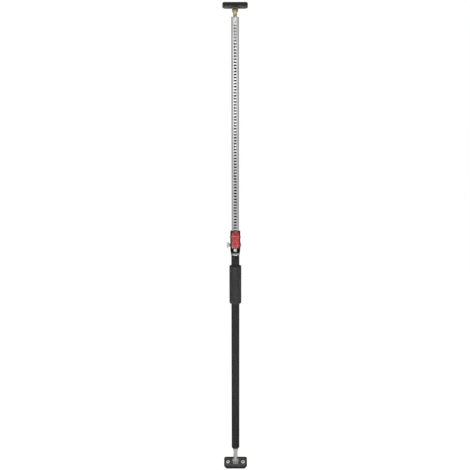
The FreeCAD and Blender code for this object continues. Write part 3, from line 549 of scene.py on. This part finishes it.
# The head's fork, plate and eyelets take darker finishes than the foot's as painted shade; the foot plate's
# paler tone is painted light.
for shoe, tilt, fork_finish, plate_finish, eyelet_finish in (
        ("head", -10, head_zinc_painted_shade, head_plate_black_painted_shade, head_zinc_painted_shade),
        ("foot", 210, matt_zinc, foot_plate_black_painted_light, eyelet_zinc)):
    pivot = Vector((0, 0, sum(corner.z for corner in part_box(shoe + "_pivot_pin")) / 2))
    finished_copy(shoe + "_fork", fork_finish, edge=0.0006, segments=3)
    finished_copy(shoe + "_pivot_pin", satin_zinc, edge=0.0005)
    finished_copy(shoe + "_plate", plate_finish, edge=0.0005)
    bpy.ops.object.select_all(action="DESELECT")
    bpy.ops.mesh.primitive_cube_add(size=2, location=(0, 0, (pad_back + pad_face) / 2),
                                    scale=(pad_half_x, pad_half_y, (pad_face - pad_back) / 2))
    pad = bpy.context.object
    pad.name = shoe + "_rubber"
    bpy.ops.object.transform_apply(location=True, rotation=True, scale=True)
    for corner_x in (-pad_half_x, pad_half_x):
        for corner_y in (-pad_half_y, pad_half_y):
            select_where(pad, "EDGE", lambda end: near(end.x, corner_x) and near(end.y, corner_y))
            bpy.ops.mesh.bevel(offset=pad_corner, segments=1, affect="EDGES")
    select_where(pad, "VERT", lambda point: near(point.y, pad_half_y - pad_corner))
    bpy.ops.transform.translate(value=(0, pad_corner - pad_cut_y, 0))
    select_where(pad, "VERT", lambda point: near(point.y, pad_half_y))
    bpy.ops.transform.resize(value=((pad_half_x - pad_cut_x) / (pad_half_x - pad_corner), 1, 1),
                             center_override=(0, 0, 0))
    select_where(pad, "EDGE", lambda end: near(end.z, pad_face))
    bpy.ops.mesh.bevel(offset=pad_bevel, segments=1, affect="EDGES")
    select_where(pad, "FACE", lambda middle: near(middle.z, pad_back))
    bpy.ops.mesh.inset(thickness=pad_lip, depth=-plate_thick)
    bpy.ops.object.mode_set(mode="OBJECT")
    cutters = []
    for side in (-1, 1):
        bpy.ops.object.select_all(action="DESELECT")
        bpy.ops.mesh.primitive_cylinder_add(vertices=32, radius=screw_radius, depth=2 * pad_face,
                                            location=(side * screw_x, 0, pad_face))
        cutters.append(bpy.context.object)
        bpy.ops.mesh.primitive_cube_add(size=1, location=(0, side * groove_y, pad_face),
                                        scale=(3 * pad_half_x, groove_width, groove_height))
        cutters.append(bpy.context.object)
    for cutter in cutters:
        pick(pad)
        cut = pad.modifiers.new("cut", "BOOLEAN")
        cut.object = cutter
        cut.operation = "DIFFERENCE"
        cut.solver = "EXACT"
        bpy.ops.object.modifier_apply(modifier="cut")
        bpy.data.objects.remove(cutter)
    round_edges(pad, edge=0.0009, segments=3)
    pad.rotation_euler = (math.radians(tilt), 0, 0)
    pad.location = pivot
    pick(pad)
    bpy.ops.object.transform_apply(location=True, rotation=True, scale=True)
    settle(pad, shoe, shoe + "_pad", rubber)
    for side in (-1, 1):
        bpy.ops.object.select_all(action="DESELECT")
        middle_x = side * screw_x
        bpy.ops.mesh.primitive_cylinder_add(vertices=40, radius=eyelet_radius, depth=eyelet_height,
                                            location=(middle_x, 0, pad_back - eyelet_height / 2))
        eyelet = bpy.context.object
        eyelet.name = f"{shoe}_eyelet_{'right' if side > 0 else 'left'}"
        bpy.ops.object.transform_apply(location=True, rotation=True, scale=True)
        select_where(eyelet, "FACE", lambda middle: math.hypot(middle.x - middle_x, middle.y) < screw_radius)
        bpy.ops.mesh.inset(thickness=eyelet_radius - screw_radius, depth=0, use_individual=True)
        bpy.ops.mesh.bridge_edge_loops()
        select_where(eyelet, "VERT", lambda point: near(point.z, pad_back - eyelet_height)
                     and near(math.hypot(point.x - middle_x, point.y), eyelet_radius))
        bpy.ops.transform.translate(value=(0, 0, eyelet_height - eyelet_edge))
        bpy.ops.object.mode_set(mode="OBJECT")
        round_edges(eyelet, edge=0.0004, segments=3)
        eyelet.rotation_euler = (math.radians(tilt), 0, 0)
        eyelet.location = pivot
        pick(eyelet)
        bpy.ops.object.transform_apply(location=True, rotation=True, scale=True)
        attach(eyelet, shoe)
        eyelet.data.materials.append(eyelet_finish)


# Studio: a plain pale floor that shows as white and keeps a soft shadow, a white backdrop, broad
# soft panels behind the camera and on both sides, level with the prop's upper half, and one that
# shines straight down on the floor in front of it, for the light that comes up from below.
floor_size = 40.0
floor_drop = 0.0002
bpy.ops.object.select_all(action="DESELECT")
bpy.ops.mesh.primitive_plane_add(size=floor_size, location=(0, 0, -floor_drop))
floor = bpy.context.object
floor.name = "studio_floor"
pale = bpy.data.materials.new("pale_floor")
pale.use_nodes = True
pale_nodes = pale.node_tree.nodes
pale_links = pale.node_tree.links
pale_shader = pale_nodes["Principled BSDF"]
pale_shader.inputs["Base Color"].default_value = (0.8, 0.8, 0.8, 1)
pale_shader.inputs["Roughness"].default_value = 0.9
pale_shader.inputs["Specular IOR Level"].default_value = 0.0
pale_shader.inputs["Emission Color"].default_value = (1, 1, 1, 1)
pale_ray = pale_nodes.new("ShaderNodeLightPath")
pale_camera_or_glossy = pale_nodes.new("ShaderNodeMath")
pale_camera_or_glossy.operation = "MAXIMUM"
pale_seen = pale_nodes.new("ShaderNodeMath")
pale_seen.operation = "MAXIMUM"
pale_glow = pale_nodes.new("ShaderNodeMath")
pale_glow.operation = "MULTIPLY"
pale_glow.inputs[1].default_value = 0.88
pale_links.new(pale_ray.outputs["Is Camera Ray"], pale_camera_or_glossy.inputs[0])
pale_links.new(pale_ray.outputs["Is Glossy Ray"], pale_camera_or_glossy.inputs[1])
pale_links.new(pale_camera_or_glossy.outputs["Value"], pale_seen.inputs[0])
pale_links.new(pale_ray.outputs["Is Transmission Ray"], pale_seen.inputs[1])
pale_links.new(pale_seen.outputs["Value"], pale_glow.inputs[0])
pale_links.new(pale_glow.outputs["Value"], pale_shader.inputs["Emission Strength"])
floor.data.materials.append(pale)

world = bpy.data.worlds.new("white_room")
bpy.context.scene.world = world
world.use_nodes = True
room = world.node_tree.nodes
room_links = world.node_tree.links
room_light = room["Background"]
room_light.inputs["Color"].default_value = (1, 1, 1, 1)
room_place = room.new("ShaderNodeTexCoord")
room_height = room.new("ShaderNodeSeparateXYZ")
room_fade = room.new("ShaderNodeMapRange")
room_fade.inputs["To Min"].default_value = 0.45
room_fade.inputs["To Max"].default_value = 0.0
room_links.new(room_place.outputs["Generated"], room_height.inputs["Vector"])
room_links.new(room_height.outputs["Z"], room_fade.inputs["Value"])
room_links.new(room_fade.outputs["Result"], room_light.inputs["Strength"])
backdrop = room.new("ShaderNodeBackground")
backdrop.inputs["Color"].default_value = (1, 1, 1, 1)
backdrop.inputs["Strength"].default_value = 1.0
room_ray = room.new("ShaderNodeLightPath")
camera_or_glossy = room.new("ShaderNodeMath")
camera_or_glossy.operation = "MAXIMUM"
room_seen = room.new("ShaderNodeMath")
room_seen.operation = "MAXIMUM"
room_blend = room.new("ShaderNodeMixShader")
room_links.new(room_ray.outputs["Is Camera Ray"], camera_or_glossy.inputs[0])
room_links.new(room_ray.outputs["Is Glossy Ray"], camera_or_glossy.inputs[1])
room_links.new(camera_or_glossy.outputs["Value"], room_seen.inputs[0])
room_links.new(room_ray.outputs["Is Transmission Ray"], room_seen.inputs[1])
room_links.new(room_seen.outputs["Value"], room_blend.inputs["Fac"])
room_links.new(room_light.outputs["Background"], room_blend.inputs[1])
room_links.new(backdrop.outputs["Background"], room_blend.inputs[2])
room_links.new(room_blend.outputs["Shader"], room["World Output"].inputs["Surface"])


def soft_lamp(name, place, aim, size, power, spread=180):
    lamp = bpy.data.lights.new(name, "AREA")
    lamp.shape = "RECTANGLE"
    lamp.size, lamp.size_y = size
    lamp.energy = power
    lamp.spread = math.radians(spread)
    holder = bpy.data.objects.new(name, lamp)
    bpy.context.scene.collection.objects.link(holder)
    holder.location = place
    holder.rotation_euler = (Vector(aim) - Vector(place)).to_track_quat("-Z", "Y").to_euler()


latch = (0, 0, 0.95)
soft_lamp("front_panel", (0, -3.9, 1.35), latch, (0.8, 0.5), 30)
soft_lamp("left_panel", (-1.95, -1.9, 1.45), latch, (2.2, 0.7), 11)
soft_lamp("right_panel", (1.95, -1.9, 1.45), latch, (2.2, 0.7), 9)
soft_lamp("floor_panel", (0, -1.25, 2.2), (0, -1.25, 0), (2.4, 0.9), 34, 40)

# Camera: level with the upper part of the prop and looking down on it, as in the photograph.
camera_pitch = math.radians(11.0)
camera_distance = 3.3
camera_target = Vector((0, 0, 0.9534))
camera_roll = math.radians(-0.06)
picture_width = 470
picture_shift = -0.3
camera = bpy.data.objects.new("camera", bpy.data.cameras.new("camera"))
bpy.context.scene.collection.objects.link(camera)
camera_way = Vector((0, -math.cos(camera_pitch), math.sin(camera_pitch)))
camera.location = camera_target + camera_distance * camera_way
camera.rotation_mode = "ZXY"
camera.rotation_euler = (math.pi / 2 - camera_pitch, 0, camera_roll)
camera.data.sensor_width = 36.0
camera.data.lens = 66.3
camera.data.shift_x = picture_shift / picture_width
bpy.context.scene.camera = camera
bpy.context.scene.view_settings.view_transform = "Standard"
